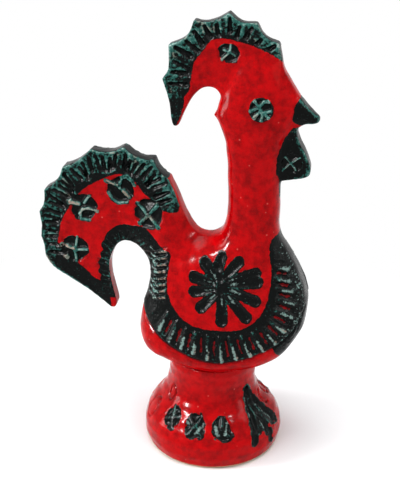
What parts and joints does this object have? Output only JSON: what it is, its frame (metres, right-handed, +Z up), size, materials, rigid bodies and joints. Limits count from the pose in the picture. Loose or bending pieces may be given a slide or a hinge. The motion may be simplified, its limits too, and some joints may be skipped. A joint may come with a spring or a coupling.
{
  "type": "pottery rooster figurine",
  "caption": "Hand-built glazed pottery rooster on a hollow flared foot, with scalloped tail and comb, to stand on a shelf.",
  "frame": {"origin": "on the ground under the middle of the overall length; the foot's axis stands 23 mm in front of it", "axes": "+Z up, +X the way the rooster looks, +Y its left side"},
  "size_m": [0.1526, 0.0792, 0.25],
  "materials": {
    "red_glaze": "thick glossy red glaze",
    "black_green_glaze": "glossy black glaze that breaks to blue-green on the ridges"
  },
  "bodies": {
    "root": {"foot": "red_glaze", "belly_bowl": "red_glaze", "side_right": "red_glaze", "side_left": "red_glaze", "tail": "black_green_glaze", "head": "red_glaze", "comb": "black_green_glaze", "beak": "black_green_glaze", "wattle": "black_green_glaze", "eye_right": "black_green_glaze", "eye_left": "black_green_glaze"}
  },
  "joints": []
}
